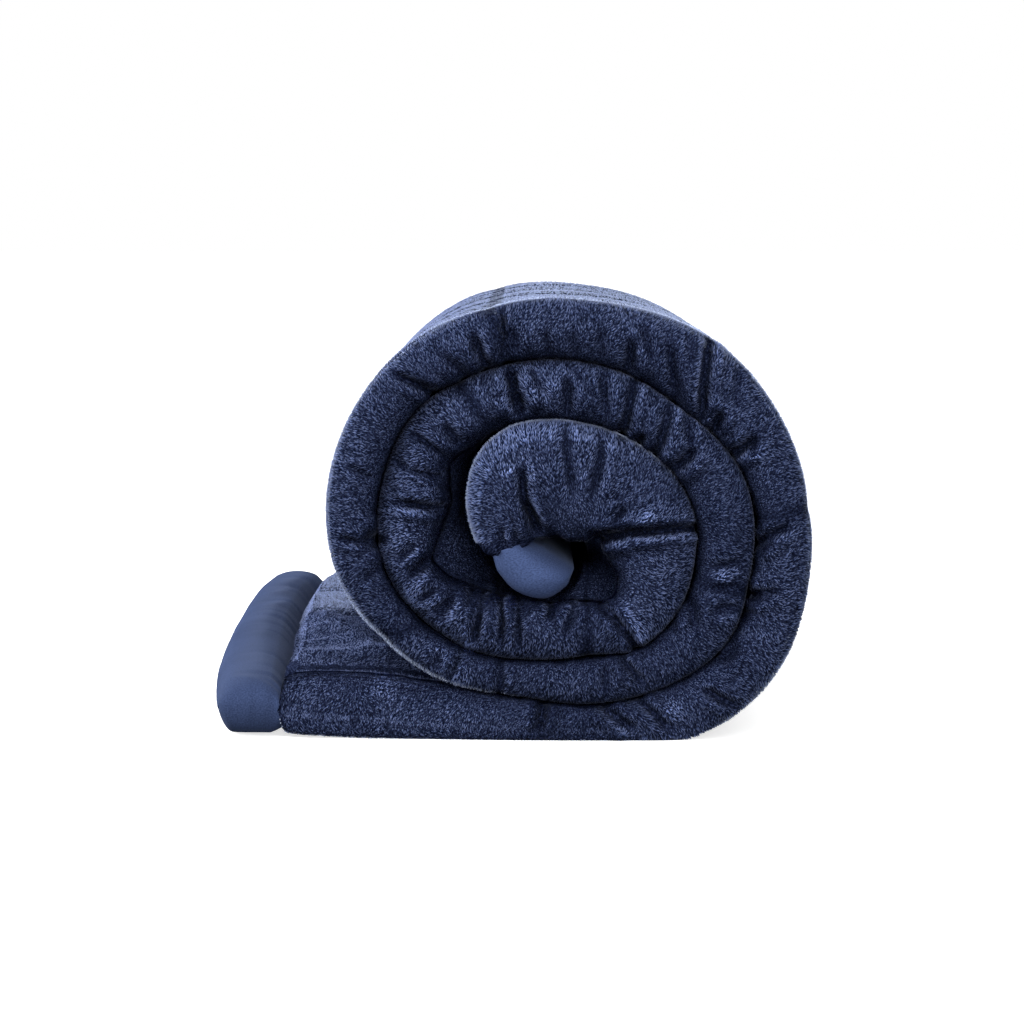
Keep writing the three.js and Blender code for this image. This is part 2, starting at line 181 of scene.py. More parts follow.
# Creases pressed into the folded front by the rolling, as short lines on it: both ends from the core and
# the surface, then depth and width
CREASES = table("x0 z0 x1 z1 deep wide", [
    (-183, 208, -168, 202, 3, 2.3), (-190, 154, -174, 152, 5, 2.3), (-172, 153, -158, 155, 9, 4.6),
    (-173, 124, -161, 131, 3, 3.1), (-145, 279, -118, 265, 8, 3.1), (-110, 293, -97, 281, 4, 3.1),
    (-88, 308, -81, 288, 9, 3.8), (-68, 326, -65, 305, 7, 1.6), (-65, 313, -66, 296, 4, 3.1),
    (-60, 314, -58, 299, 4, 4.6), (-34, 312, -31, 296, 3, 3.8), (-14, 310, -12, 296, 3, 3.8),
    (7, 312, 8, 294, 3, 3.8), (32, 304, 28, 284, 7, 4.6), (42, 314, 46, 294, 5, 3.1),
    (61, 301, 65, 265, 6, 3.8), (77, 308, 78, 291, 3, 3.8), (91, 304, 87, 274, 9, 3.8),
    (87, 274, 86, 248, 10, 3.8), (95, 238, 98, 251, 9, 3.8), (114, 284, 111, 261, 3, 3.1),
    (112, 219, 125, 231, 10, 3.8), (128, 149, 135, 156, 9, 3.8), (135, 156, 151, 163, 6, 3.1),
    (118, 110, 131, 113, 10, 3.8), (131, 113, 143, 115, 6, 3.1), (114, 96, 125, 101, 5, 3.8),
    (100, 61, 112, 71, 6, 3.8), (89, 39, 110, 27, 7, 3.1), (38, 30, 51, 19, 7, 3.1),
    (51, 19, 59, 10, 5, 3.1), (8, 28, 21, 17, 8, 3.8), (21, 17, 31, 9, 6, 3.8), (-36, 28, -38, 15, 8, 3.1),
    (-38, 15, -40, 8, 6, 3.1), (-150, 214, -141, 210, 4, 3.1), (-135, 207, -117, 203, 6, 2.3),
    (-144, 181, -115, 178, 9, 3.1), (-146, 139, -135, 148, 4, 3.1), (-123, 136, -137, 128, 8, 3.8),
    (-115, 118, -131, 108, 5, 3.1), (-103, 115, -115, 97, 6, 4.6), (-134, 234, -113, 218, 6, 3.1),
    (-111, 240, -101, 227, 6, 4.6), (-61, 282, -58, 267, 12, 4.6), (-58, 267, -54, 252, 13, 5.4),
    (-43, 279, -24, 256, 3, 2.3), (-17, 274, -18, 252, 7, 4.6), (-12, 282, 8, 258, 3, 2.3),
    (10, 278, 11, 254, 6, 3.8), (34, 273, 29, 254, 6, 3.8), (29, 254, 25, 233, 8, 3.8),
    (38, 227, 40, 234, 7, 3.8), (51, 219, 60, 251, 7, 3.8), (66, 208, 78, 222, 8, 3.8),
    (74, 244, 77, 230, 3, 3.8), (94, 133, 112, 136, 4, 3.8), (94, 115, 112, 116, 3, 3.8),
    (76, 106, 81, 87, 6, 3.8), (95, 100, 112, 102, 4, 3.8), (25, 63, 38, 46, 7, 3.1),
    (-67, 61, -69, 38, 5, 3.1), (12, 56, 11, 39, 4, 3.8), (-99, 68, -107, 50, 5, 2.3),
    (-116, 68, -118, 58, 4, 3.1), (-52, 204, -50, 184, 8, 3.8), (-50, 184, -40, 162, 14, 3.8),
    (-68, 162, -65, 144, 5, 2.3), (-58, 159, -56, 144, 4, 2.3), (-20, 233, -14, 193, 5, 4.6),
    (9, 225, 3, 191, 5, 3.8), (6, 154, 27, 159, 12, 3.8), (27, 159, 55, 161, 12, 3.1),
    (55, 161, 81, 163, 9, 3.1), (16, 165, 25, 177, 5, 3.1), (-90, 121, -92, 105, 8, 3.8),
    (-81, 119, -85, 99, 9, 3.1), (-85, 99, -89, 78, 8, 3.1), (-67, 113, -69, 79, 9, 3.1),
    (-55, 107, -55, 78, 7, 3.1), (-48, 104, -50, 93, 5, 3.1), (-30, 106, -33, 95, 7, 3.1),
    (-12, 104, -20, 84, 6, 3.1), (8, 105, 18, 96, 7, 2.7), (18, 96, 27, 84, 9, 2.7),
    (27, 84, 36, 70, 7, 2.7),
])

# Creases in the mesh: how they fade behind the fold and at their ends, and the shoulders raised beside them
CREASE_FADE = 40
CREASE_STOP = 0.7
CREASE_GAIN = 1.4
CREASE_SHOULDER = 0.4
CREASE_SIDE = 0.2
CREASE_WIDEN = 1.25
CREASE_TURNS = 120
CREASE_ENDS = 0.62
CREASE_SQUARE = 4
SHOULDER_AT = 2.1

# Creases as painted shade of the pile, with painted highlights beside them: how dark, how light beside them,
# the depth of the darkest, the width
CREASE_PAINTED_SHADE = 0.85
CREASE_PAINTED_LIGHT = 0.8
CREASE_FULL = 6
CREASE_LINE = 0.8

# Painted highlights on tufts of pile between the creases, whose locks also stand a little higher: place on
# the front and size
TUFT_HIGHLIGHTS = table("x z size", [
    (42, 170, 6), (101, 126, 7), (27, 100, 5), (33, 91, 5), (39, 82, 5), (-65, 207, 5), (-68, 146, 7),
    (57, 218, 5), (95, 255, 7), (127, 222, 7), (-138, 110, 7), (-62, 103, 7), (-115, 68, 6), (-94, 70, 7),
    (-161, 45, 9), (-85, 296, 6), (-32, 268, 6), (62, 25, 8), (-100, 50, 8),
])
TUFT_PAINTED_LIGHT = 1.2

# Soft folds on top of the flat end, as lines on it: both ends from the core and the fold, height and width
TAIL_FOLDS = table("x0 y0 x1 y1 rise wide", [
    (-229, 560, -157, 129, 8, 20), (-236, 600, -180, 640, -5, 18), (-225, 300, -160, 330, 3, 30),
    (-238, 165, -120, 150, 5, 60),
])

# Soft unevenness: low lumps of the filling and small puckers at the inner edge of each turn
LUMP_WIDE = 55
LUMP_DEEP = 0.8
LUMP_SHIFT = 40
PUCKER_WIDE = 9
PUCKER_DEEP = 1.4
PUCKER_DRIFT = 1.5
PUCKER_FADE = 1.5

# Mesh: sections along the blanket, the stride of the far rows over them, and the rows across it
SECTIONS = 801
FAR_STRIDE = 4
NOSE_ROWS = 45
NEAR_ROWS = 18
NEAR_TO = 110
NEAR_CROWD = 1.5
FAR_SPACE = 45
LINE_ROWS = (-60, -34, -18, -8, -3, 0, 3, 8, 18, 34, 60)
HEM_ROWS = 9
SLIT_ROWS = (HEM_START, 860, 560, 260, FOLD_DEPTH)
BINDING_SECTIONS = 49
BINDING_SPACE = 5

# Rounded edges of the cloth, and the seam where a binding is drawn in
OUTER_EDGE_ROUND = 11
INNER_EDGE_ROUND = 5
EDGE_BLUNT = 0.97
CORNER_ROUND = 24
BEAD_ROUND = 9
SEAM_WIDE = 12
SEAM_SINK = 0.25

# Place of the core and of the fold in the shared frame
CORE_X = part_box("outer_binding")[1].x / MM - OUTER_BINDING["over"][0] + SEAM_GAP
FOLD_Y = CAD_BOX[0].y / MM


def smooth(rows, key, name, at):
    """Smooth curve through one column of a table."""
    keys, values = rows[key], rows[name]
    here = np.clip(np.asarray(at, float), keys[0], keys[-1])
    i = np.clip(np.searchsorted(keys, here, side="right") - 1, 0, len(keys) - 2)
    low = np.maximum(np.arange(len(keys)) - 1, 0)
    high = np.minimum(np.arange(len(keys)) + 1, len(keys) - 1)
    slopes = (values[high] - values[low]) / (keys[high] - keys[low])
    span = keys[i + 1] - keys[i]
    t = (here - keys[i]) / span
    rise = (values[i + 1] - values[i]) * t * t * (3 - 2 * t)
    leave = slopes[i] * span * t * (1 - t) ** 2
    arrive = slopes[i + 1] * span * t * t * (1 - t)
    return values[i] + rise + leave - arrive


def step_between(low, high, at):
    """Smooth rise from 0 to 1 between two values."""
    t = np.clip((np.asarray(at, float) - low) / (high - low), 0, 1)
    return t * t * (3 - 2 * t)


def between(turns, at):
    """Rises to 1 between the first two turns and falls again between the last two."""
    return step_between(*turns[:2], at) - step_between(*turns[2:], at)


def unit(vectors):
    """Vectors of length 1 in the same directions."""
    return vectors / np.maximum(np.linalg.norm(vectors, axis=-1, keepdims=True), TINY)


def outside(turn):
    """Radius of the outer face, which lies flat on the surface at the end of the last turn."""
    flat = CORE_HEIGHT / np.cos(np.radians(np.clip(turn, REST_FROM, TAIL_FROM) - UNDER_CORE))
    return np.where(turn >= REST_FROM, flat, smooth(WINDING, "turn", "outside", turn))


def inside(turn):
    """Radius of the inner face, which lies on the turn within once there is one."""
    wound = outside(turn - FULL_TURN) + TURN_GAP
    return np.where(turn > FREE_TO, wound, smooth(CORE, "turn", "inside", turn))


def around_core(degrees, radius):
    """Points at a radius from the core, across and up from the surface."""
    angle = np.radians(degrees)
    return np.stack([radius * np.cos(angle), CORE_HEIGHT + radius * np.sin(angle)], -1)


def flat_ribs(rows, row):
    """Sections of a flat end: the outer face on the surface and the inner face on top."""
    outer = np.stack([smooth(rows, "row", "under", row), np.maximum(smooth(rows, "row", "base", row), 0)], -1)
    inner = np.stack([smooth(rows, "row", "over", row), smooth(rows, "row", "top", row)], -1)
    return outer, inner


def ribs(turn):
    """Sections of the layer: a point on the outer face and one on the inner face for each."""
    turn = np.asarray(turn, float)
    lean = smooth(CORE, "turn", "lean", turn)
    outer = around_core(LEFT_SIDE - turn, outside(turn))
    inner = around_core(LEFT_SIDE - turn - lean, inside(turn))
    flat_outer, flat_inner = flat_ribs(TAIL, (turn - TAIL_FROM) / TAIL_STEP)
    flat = (turn > TAIL_FROM)[:, None]
    return np.where(flat, flat_outer, outer), np.where(flat, flat_inner, inner)


def fold_back(turn):
    """How far the fold stands back from the front of the roll."""
    return smooth(FRONT, "turn", "back", turn)


# Length along the middle of the layer at each turn, and the sewn lines across it
TURNS = np.arange(INNER_SEAM - SEAM_LAP, TAIL_END + TURN_STEP / 2, TURN_STEP)
MIDDLES = sum(ribs(TURNS)) / 2
LENGTHS = np.concatenate([[0], np.cumsum(np.linalg.norm(np.diff(MIDDLES, axis=0), axis=1))])
STRIP_LENGTH = LENGTHS[-1]
CROSS_LINES = np.arange(FIRST_BOX, STRIP_LENGTH, BOX)
SEWN_LINES = np.array([0, *CROSS_LINES, STRIP_LENGTH])


def nearest(lines, at):
    """Distance from the nearest of the lines."""
    return np.abs(np.asarray(at)[..., None] - lines).min(-1)


def groove(distance, soft=CROSS_SOFT):
    """Sink of the quilting beside a sewn line, 1 on the line itself."""
    return np.exp((STITCH - np.hypot(distance, STITCH)) / soft)


def channel_sink(at):
    """Depth to which the sewn lines along the blanket draw it in, at a distance from the fold."""
    return np.max([line["deep"] * groove(np.abs(at - line["y"]), line["soft"]) for line in CHANNELS], 0)


def sewn_painted_shade(length, at):
    """Painted shade of the pile in the sewn lines and seams, darkest on a line and 1 well away from the
    lines.
    """
    cross = groove(nearest(SEWN_LINES, length), SEWN_SOFT)
    along = groove(nearest(CHANNELS["y"], at), CHANNEL_SOFT)
    return 1 - SEWN_PAINTED_SHADE * np.maximum(cross, along)


def free_share(turn, across):
    """How free the outer face (across 1) or the inner face (across 0) is, from 0 to 1."""
    outer = step_between(*OUTER_FREE, turn)
    inner = 1 - step_between(*INNER_FREE[:2], turn) + step_between(*INNER_FREE[2:], turn)
    return inner + (outer - inner) * across


class Lattice:
    """Soft seeded unevenness over a flat map, between -1 and 1."""

    def __init__(self, seed, size=256):
        self.size = size
        self.values = np.random.default_rng(seed).uniform(-1, 1, (size, size))

    def corner(self, i, j):
        return self.values[i % self.size, j % self.size]

    def at(self, u, v):
        i, j = np.floor(u).astype(int), np.floor(v).astype(int)
        a = step_between(0, 1, u - i)
        b = step_between(0, 1, v - j)
        low = self.corner(i, j) * (1 - a) + self.corner(i + 1, j) * a
        high = self.corner(i, j + 1) * (1 - a) + self.corner(i + 1, j + 1) * a
        return low * (1 - b) + high * b


LUMPS = Lattice(seed=3)
PUCKERS = Lattice(seed=11)

# A row of the mesh round one section: its zone, the share of the thickness from the inner face, its distance
# from the fold or a share of it, and whether every section has a point on it
Row = namedtuple("Row", "zone across y fine")


def hem_rows(middle, fine):
    """Rows round the far edge of one half of the fold."""
    angles = [math.pi * k / (HEM_ROWS + 1) for k in range(1, HEM_ROWS + 1)]
    return [Row("hem", middle + HEM_SWING * math.cos(angle), HEM_START + HEM_ROUND * math.sin(angle), fine)
            for angle in angles]


def nose_rows(power):
    """Rows round the fold, from the inner face to the outer face."""
    rows = []
    for k in range(NOSE_ROWS + 1):
        angle = math.pi * (k / NOSE_ROWS - 0.5)
        across = 0.5 + 0.5 * math.copysign(abs(math.sin(angle)) ** power, angle)
        rows.append(Row("nose", across, 1 - abs(math.cos(angle)) ** power, True))
    return rows


def section_rows(face_rows, nose, near_rows, fine):
    """All rows of a section, from the slit over the fold and back to the slit."""
    near = [(k / near_rows) ** NEAR_CROWD for k in range(1, near_rows + 1)]
    rows = [Row("slit", -1, y, fine) for y in reversed(SLIT_ROWS)]
    rows += hem_rows(HEM_MIDDLES[0], fine)
    rows += [Row("face", 0, y, fine) for y in reversed(face_rows)]
    rows += [Row("near", 0, share, True) for share in reversed(near)]
    rows += nose_rows(2 / nose["power"])
    rows += [Row("near", 1, share, True) for share in near]
    rows += [Row("face", 1, y, fine) for y in face_rows]
    rows += hem_rows(HEM_MIDDLES[1], fine)
    rows += [Row("slit", 1, y, fine) for y in SLIT_ROWS]
    return rows


def body_rows():
    """Rows of the body, closer together beside the sewn lines."""
    marks = [NEAR_TO]
    for line in CHANNELS["y"][1:]:
        marks += [line + step for step in LINE_ROWS]
    marks.append(HEM_START)
    face_rows = []
    for low, high in zip(marks[:-1], marks[1:]):
        parts = max(1, math.ceil((high - low) / FAR_SPACE))
        face_rows += [low + (high - low) * k / parts for k in range(1, parts + 1)]
    return section_rows(face_rows, BODY_NOSE, NEAR_ROWS, False)


def binding_rows():
    count = round((HEM_START - NEAR_TO) / BINDING_SPACE)
    face_rows = list(np.linspace(NEAR_TO, HEM_START, count + 1)[1:])
    return section_rows(face_rows, BINDING_NOSE, NEAR_TO // BINDING_SPACE, True)


def thickness(part):
    """Distance between the two faces at each section."""
    return np.linalg.norm(part["outer"] - part["inner"], axis=1)


def nose_reach(part, nose, across):
    """How far back the rounding of the fold runs, above its middle or under it."""
    reach = np.minimum(nose["share"] * thickness(part), nose["limit"])
    if across < 0.5:
        return reach * (nose["top"] + LOOSE_EDGE * between(LOOSE_TURNS, part["turn"]))
    return reach * (1 - BLUNT * step_between(BLUNT_FROM, REST_FROM, part["turn"]))


def row_depth(row, part, nose):
    """Distance of one row's points behind the fold."""
    reach = nose_reach(part, nose, row.across)
    if row.zone == "nose":
        return reach * row.y
    if row.zone == "near":
        return reach + row.y * (NEAR_TO - reach)
    return np.full(len(part["turn"]), float(row.y))


def slit_share(row, part):
    """Share of the thickness at which one side of the slit between the two halves lies."""
    return 0.5 + row.across * FOLD_GAP / (2 * thickness(part))


def place(part, share, y):
    """Points of one row: a share of the thickness from the inner face, at a distance from the front."""
    flat = part["inner"] + (part["outer"] - part["inner"]) * share[:, None]
    x = flat[:, 0] - part["hold"] * smooth(SPREAD, "y", "seam", y)
    x = x - part["reach"] * smooth(SPREAD, "y", "reach", y)
    lift = 1 + part["lift"] * smooth(SPREAD, "y", "lift", y)
    curl = CURL * part["lift"] * np.exp(-y / CURL_FADE)
    return np.stack([x, y, flat[:, 1] * lift + curl], -1)


def segment_distance(points, start, end):
    """Distance of flat points from a line between two points."""
    line = end - start
    share = np.clip((points - start) @ line / (line @ line), 0, 1)
    return np.linalg.norm(points - start - share[..., None] * line, axis=-1)


def tail_rise(points):
    """Height of the soft folds on top of the flat end."""
    rise = 0
    for row in TAIL_FOLDS:
        start, end = np.array([row["x0"], row["y0"]]), np.array([row["x1"], row["y1"]])
        away = segment_distance(points[:, :2], start, end)
        rise = rise + row["rise"] * np.exp(-(away / row["wide"]) ** 2)
    return rise


def filled_inner(part, deep):
    """Inner face well behind the fold, where the filling swells against the turn within."""
    turn, inner = part["turn"], part["inner"]
    core = between(CORE_TURNS, turn)
    radius = outside(turn - FULL_TURN) + TURN_GAP
    met = around_core(LEFT_SIDE - turn, radius + (CORE_CLOSED - radius) * core)
    loose = (turn > CORE_TURNS[0]) & (turn < FREE_TO)
    swell = np.where(loose, step_between(DEEP_FROM, DEEP_TO, deep), 0)
    share = np.where(turn < CORE_TURNS[1], core, 1) * swell
    return inner + (met - inner) * share[:, None]


def body_row_points(row, part):
    """Points of one row of the quilted body at every section."""
    across = row.across
    deep = row_depth(row, part, BODY_NOSE)
    if row.zone == "slit":
        return place(part, slit_share(row, part), deep + part["back"])
    at = np.maximum(deep, nose_reach(part, BODY_NOSE, across))
    part = dict(part, inner=filled_inner(part, deep))
    thick = thickness(part)
    length, turn = part["length"], part["turn"]
    free = free_share(turn, across)
    cross = groove(nearest(CROSS_LINES, length))
    along = channel_sink(at) * np.minimum(length / CORE_FADE, 1)
    lump = LUMP_DEEP * LUMPS.at(length / LUMP_WIDE, at / LUMP_WIDE + LUMP_SHIFT * across)
    loose = np.maximum(along, CROSS_DEPTH * cross) + lump
    pressed = PRESSED_DEPTH * np.maximum(along / CHANNELS["deep"].max(), cross) - PRESSED_OUT
    drop = np.minimum(thick / PLY, 1) * (free * loose + (1 - free) * pressed) / thick
    high = np.where(turn >= REST_FROM, 1, 1 - drop)
    points = place(part, drop + (high - drop) * across, deep + part["back"])
    points[:, 2] += (1 - across) * (turn > REST_FROM) * free_share(turn, 0) * tail_rise(points)
    points[:, 2] = np.maximum(points[:, 2], 0)
    return points


# Binding: gathers beside the seam, slow waves along it and soft folds down its front
GATHER_DEEP = 5
GATHER_WIDE = 26
GATHER_REACH = 14
OUTER_WAVE = 2.25
INNER_WAVE = 0.15
WAVE_LONG = 80
WAVE_WIDE = 30
WAVE_SLANT = 1.2
FACE_SHIFT = 9
GATHERS = Lattice(seed=17)
WAVES = Lattice(seed=19)
BINDING_FOLDS = table("along deep wide", [(9, 1.5, 4), (23, 1.2, 3.5), (35, 1.6, 4.5)])


def front_folds(row, part):
    """How far back the soft folds press the front of a binding that lies on the surface."""
    push = np.zeros(len(part["length"]))
    if row.zone == "nose" and part["resting"]:
        for fold in BINDING_FOLDS:
            push += fold["deep"] * np.exp(-((part["length"] - fold["along"]) / fold["wide"]) ** 2)
        push *= math.sin(math.pi * row.across)
    return push


def binding_row_points(row, part):
    """Points of one row of a smooth binding at every section."""
    length, shift = part["length"], FACE_SHIFT * row.across
    deep = row_depth(row, part, BINDING_NOSE)
    at = deep + part["back"] + part["corner"] * (1 - 2 * deep / FOLDED_WIDTH)
    if row.zone == "slit":
        return place(part, slit_share(row, part), at)
    gather = GATHER_DEEP * np.exp(-length / GATHER_REACH) * GATHERS.at(deep / GATHER_WIDE, shift)
    slant = (deep + WAVE_SLANT * length) / WAVE_LONG
    wave = part["wave"] * WAVES.at(slant, length / WAVE_WIDE + shift)
    rise = np.sin(np.pi * np.clip(length / length.max(), 0, 1))
    drop = (np.maximum(gather, 0) + wave * rise) / thickness(part)
    if row.zone == "hem":
        drop = np.zeros_like(drop)
    high = np.ones_like(drop) if part["resting"] else 1 - drop
    return place(part, drop + (high - drop) * row.across, at + front_folds(row, part))


def every(part, step):
    """The same sections with only each step-th one kept."""
    return {key: value[::step] if isinstance(value, np.ndarray) else value for key, value in part.items()}


def skin(rows, grids):
    """Faces of the closed skin over all the rows, where some rows skip sections."""
    starts = np.cumsum([0] + [len(grid) for grid in grids])
    numbers = [start + np.arange(len(grid)) for start, grid in zip(starts, grids)]
    faces = []
    for k in range(len(rows)):
        this, after = numbers[k], numbers[(k + 1) % len(rows)]
        if len(this) == len(after):
            faces += np.stack([this[:-1], this[1:], after[1:], after[:-1]], -1).tolist()
            continue
        fine, rough = (this, after) if len(this) > len(after) else (after, this)
        for i in range(len(rough) - 1):
            span = fine[i * FAR_STRIDE:(i + 1) * FAR_STRIDE + 1].tolist()
            ring = span + [int(rough[i + 1]), int(rough[i])]
            faces.append(ring if fine is this else ring[::-1])
    faces.append([int(row[0]) for row in numbers])
    faces.append([int(row[-1]) for row in numbers][::-1])
    return faces


def cloth_map(rows, grids, lengths):
    """Place on the cloth of every point: length along it, and distance across it from the fold."""
    step = 1 if all(row.fine for row in rows) else FAR_STRIDE
    few = lengths[::step]
    coarse = [grid if len(grid) == len(few) else grid[::step] for grid in grids]
    steps = [np.linalg.norm(after - this, axis=1) for this, after in zip(coarse[:-1], coarse[1:])]
    across = np.concatenate([[np.zeros_like(few)], np.cumsum(steps, axis=0)])
    middle = next(k for k, row in enumerate(rows) if row.zone == "nose" and row.across >= 0.5)
    across = across - across[middle]
    maps = []
    for k, grid in enumerate(grids):
        along = lengths if len(grid) == len(lengths) else few
        maps.append(np.stack([along, np.interp(along, few, across[k])], -1))
    return np.concatenate(maps)


def grid_normals(grid):
    """Outward directions over a grid of points, by row and section."""
    return unit(np.cross(np.gradient(grid, axis=1), np.gradient(grid, axis=0)))


def crease_depth(flat, turns, widen):
    """Depth of the creases at points of the front, with raised shoulders beside them."""
    sunk = np.zeros(turns.shape)
    raised = np.zeros(turns.shape)
    for row in CREASES:
        start, end = np.array([row["x0"], row["z0"]]), np.array([row["x1"], row["z1"]])
        long = np.linalg.norm(end - start)
        along = (end - start) / long
        off = flat - (start + end) / 2
        away = np.abs(off @ np.array([-along[1], along[0]])) / (widen * row["wide"])
        ends = np.abs(off @ along) / (CREASE_ENDS * long)
        home = turns.flat[(away + ends).argmin()]
        same_turn = np.abs(turns - home) < CREASE_TURNS
        deep = CREASE_GAIN * row["deep"] * np.exp(-ends ** CREASE_SQUARE) * same_turn
        sunk = np.maximum(sunk, deep * np.exp(-away ** 2))
        raised = np.maximum(raised, deep * np.exp(-(away - SHOULDER_AT) ** 2))
    return sunk - CREASE_SHOULDER * raised


def press_creases(rows, grids, part):
    """Move the front of the body back where it is creased, pinched by sewn lines and puckered."""
    near = [k for k, row in enumerate(rows) if row.fine]
    grid = np.stack([grids[k] for k in near])
    across = np.array([rows[k].across for k in near])[:, None]
    deep = np.stack([row_depth(rows[k], part, BODY_NOSE) for k in near])
    behind = deep - np.stack([nose_reach(part, BODY_NOSE, rows[k].across) for k in near])
    fade = np.exp(-np.maximum(behind, 0) / CREASE_FADE) * step_between(NEAR_TO, CREASE_STOP * NEAR_TO, deep)
    turns = np.broadcast_to(part["turn"], deep.shape)
    dent = crease_depth(grid[..., [0, 2]], turns, CREASE_WIDEN) * fade
    length = part["length"][None]
    pucker = PUCKER_DEEP * (0.5 + 0.5 * PUCKERS.at(length / PUCKER_WIDE, PUCKER_DRIFT * across))
    pucker = pucker * (1 - across) ** PUCKER_FADE * fade
    pinch = PINCH_DEPTH * groove(nearest(CROSS_LINES, length)) * (behind <= 0)
    moved = grid - grid_normals(grid) * (pucker + CREASE_SIDE * dent)[..., None]
    moved[..., 1] += dent + pinch
    moved[..., 2] = np.maximum(moved[..., 2], 0)
    for k, points in zip(near, moved):
        grids[k] = points


def front_painted_shade(rows, part):
    """Painted shade of the pile over the front in the sewn lines, and painted light or shade by its place on
    the roll.
    """
    deep = np.stack([row_depth(row, part, BODY_NOSE) for row in rows])
    return sewn_painted_shade(part["length"][None], deep) * smooth(FRONT, "turn", "light", part["turn"])


def make_mesh(name, points, faces, maps, material):
    """A smooth piece from points in millimetres, placed in the shared frame."""
    mesh = bpy.data.meshes.new(name)
    shift = np.array([CORE_X, FOLD_Y, 0])
    mesh.from_pydata(((points + shift) * MM).tolist(), [], faces)
    mesh.polygons.foreach_set("use_smooth", np.ones(len(mesh.polygons), bool))
    layer = mesh.uv_layers.new(name="cloth")
    corner = np.empty(len(mesh.loops), int)
    mesh.loops.foreach_get("vertex_index", corner)
    layer.data.foreach_set("uv", (maps[corner] * MM).astype(np.float32).ravel())
    mesh.materials.append(material)
    mesh.update()
    piece = bpy.data.objects.new(name, mesh)
    bpy.context.collection.objects.link(piece)
    return piece


def grey(value):
    return (value, value, value, 1)


def set_ramp(ramp, stops):
    """Give a ramp the stops of a table."""
    while len(ramp.elements) < len(stops):
        ramp.elements.new(0.5)
    for element, (at, colour) in zip(ramp.elements, stops):
        element.position = at
        element.color = colour


# Sockets of a mix node, which has several of each name: values, colours and the mixed colour
MIX_VALUES = (2, 3)
MIX_COLOURS = (6, 7)
MIXED_COLOUR = 2


class Nodes:
    """Short names for building a material's nodes."""

    def __init__(self, name):
        self.material = bpy.data.materials.new(name)
        self.material.use_nodes = True
        self.tree = self.material.node_tree
        self.shader = self.tree.nodes["Principled BSDF"]
        self.set(Specular_IOR_Level=0)

    def add(self, kind, links=(), **values):
        node = self.tree.nodes.new(kind)
        for key, value in values.items():
            if hasattr(node, key):
                setattr(node, key, value)
            else:
                node.inputs[key.replace("_", " ")].default_value = value
        for name, socket in dict(links).items():
            self.tree.links.new(socket, node.inputs[name])
        return node

    def link(self, socket, name):
        self.tree.links.new(socket, self.shader.inputs[name])

    def set(self, **values):
        for key, value in values.items():
            self.shader.inputs[key.replace("_", " ")].default_value = value

    def noise(self, vector, scale, detail=1, **values):
        node = self.add("ShaderNodeTexNoise", {"Vector": vector}, Scale=scale, Detail=detail, **values)
        return node.outputs["Fac"]

    def cloth(self):
        return self.add("ShaderNodeUVMap", uv_map="cloth").outputs["UV"]

    def stretched_cloth(self, along, across):
        """The cloth's own map, scaled along and across it."""
        node = self.add("ShaderNodeMapping", {"Vector": self.cloth()}, Scale=(along, across, 1))
        return node.outputs["Vector"]

    def place(self):
        return self.add("ShaderNodeTexCoord").outputs["Object"]

    def ramp(self, socket, stops, gain=1):
        """Colour by the stops of a table, all made paler or darker by the gain."""
        node = self.add("ShaderNodeValToRGB", {"Fac": socket})
        set_ramp(node.color_ramp, [(at, (*[gain * part for part in colour], 1)) for at, colour in stops])
        return node.outputs["Color"]

    def times(self, first, second):
        links = dict(zip(MIX_COLOURS, (first, second)))
        node = self.add("ShaderNodeMix", links, data_type="RGBA", blend_type="MULTIPLY")
        node.inputs[0].default_value = 1
        return node.outputs[MIXED_COLOUR]

    def blend(self, first, second, share):
        node = self.add("ShaderNodeMix", dict(zip(MIX_VALUES, (first, second))))
        node.inputs[0].default_value = share
        return node.outputs[0]

    def bump(self, height, strength, deep):
        node = self.add("ShaderNodeBump", {"Height": height}, Strength=strength, Distance=deep)
        self.link(node.outputs["Normal"], "Normal")


# Finishes: colours along the height of the strands, darker low down as painted shade among them, and repeats
# of the detail in a metre
SHEEN_TINT = (0.58, 0.68, 0.95, 1)
GROUND_COLOURS = [(0.4, (0.002, 0.003, 0.009)), (0.52, (0.007, 0.01, 0.026)), (0.65, (0.03, 0.04, 0.085))]
LOCK_COLOURS = [(0, (0.001, 0.002, 0.01)), (0.5, (0.018, 0.026, 0.06)), (1, (0.072, 0.088, 0.155))]
# tone of each lock: random, times its painted shade and highlights, which go far above 1 in the painted
# glints
LOCK_TONES = [(0, (0.03, 0.04, 0.06)), (0.25, (0.42, 0.44, 0.5)), (0.5, (2.5, 2.5, 2.5)), (1, (6, 6, 6))]
PLUSH_PATCHES = [(0.35, (0.75, 0.77, 0.8)), (0.65, (1.15, 1.15, 1.15))]
WEAVE_COLOURS = [(0.3, (0.022, 0.033, 0.075)), (0.7, (0.027, 0.04, 0.089))]
WEAVE_THREADS = [(0.3, (0.72, 0.72, 0.72)), (0.7, (1.22, 1.22, 1.22))]
STRANDS = dict(along=1000, across=380)
STRAND_GRAIN = 700
GRAIN_SHARE = 0.2
GROUND_PATCH = 28
NAP_PATCH = 30
PATCH_DETAIL = 3
THREADS = dict(along=800, across=800)
WEAVE_PATCH = 12

# Finish of the pile in each place: how pale it is painted, as painted light or shade for how the light falls
# there, and how much sheen it has
Nap = namedtuple("Nap", "pale sheen")
NAPS = dict(front_nap=Nap(1, 0.06), edge_nap=Nap(1.1, 0.8), outer_nap=Nap(1.1, 0.3),
            tail_nap=Nap(0.85, 0), back_nap=Nap(1.15, 0.19))
# Painted light of the bindings: the inner one is a copy painted lighter, for the shade it lies in at the core
OUTER_PAINTED_LIGHT = 1
INNER_PAINTED_LIGHT = 1.8


